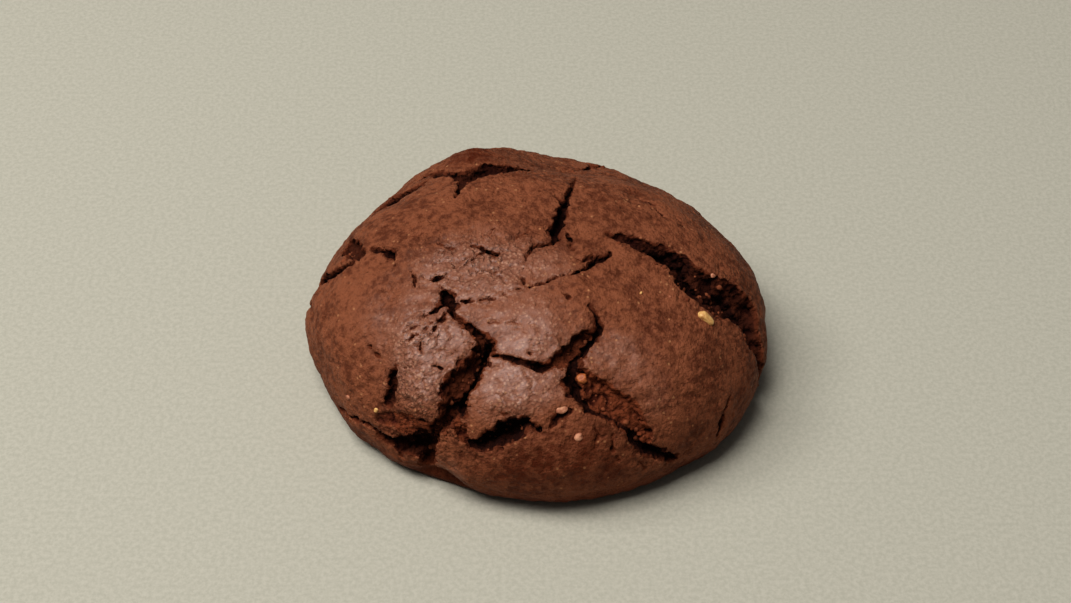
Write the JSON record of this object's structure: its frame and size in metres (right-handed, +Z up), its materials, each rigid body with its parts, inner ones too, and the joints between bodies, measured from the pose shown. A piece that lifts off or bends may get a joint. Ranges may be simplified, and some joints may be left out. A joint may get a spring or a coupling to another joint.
{
  "type": "double chocolate cookie",
  "caption": "Domed chocolate cookie baked in one piece, flat underneath, its crust split into lifted plates by deep cracks, with pale nut chips in it.",
  "frame": {"origin": "centre of the bounding box in plan, on the surface that the cookie rests on", "axes": "+Z up; -Y towards the side that the picture looks at; +X to the right in the picture"},
  "size_m": [0.0718, 0.0686, 0.0261],
  "materials": {
    "crust": "dry matt cocoa crust with a faint grey bloom on the plates and darker, redder crumb in the cracks",
    "nut": "dry roasted nut, satin"
  },
  "bodies": {
    "root": {"cookie": "crust"}
  },
  "joints": []
}
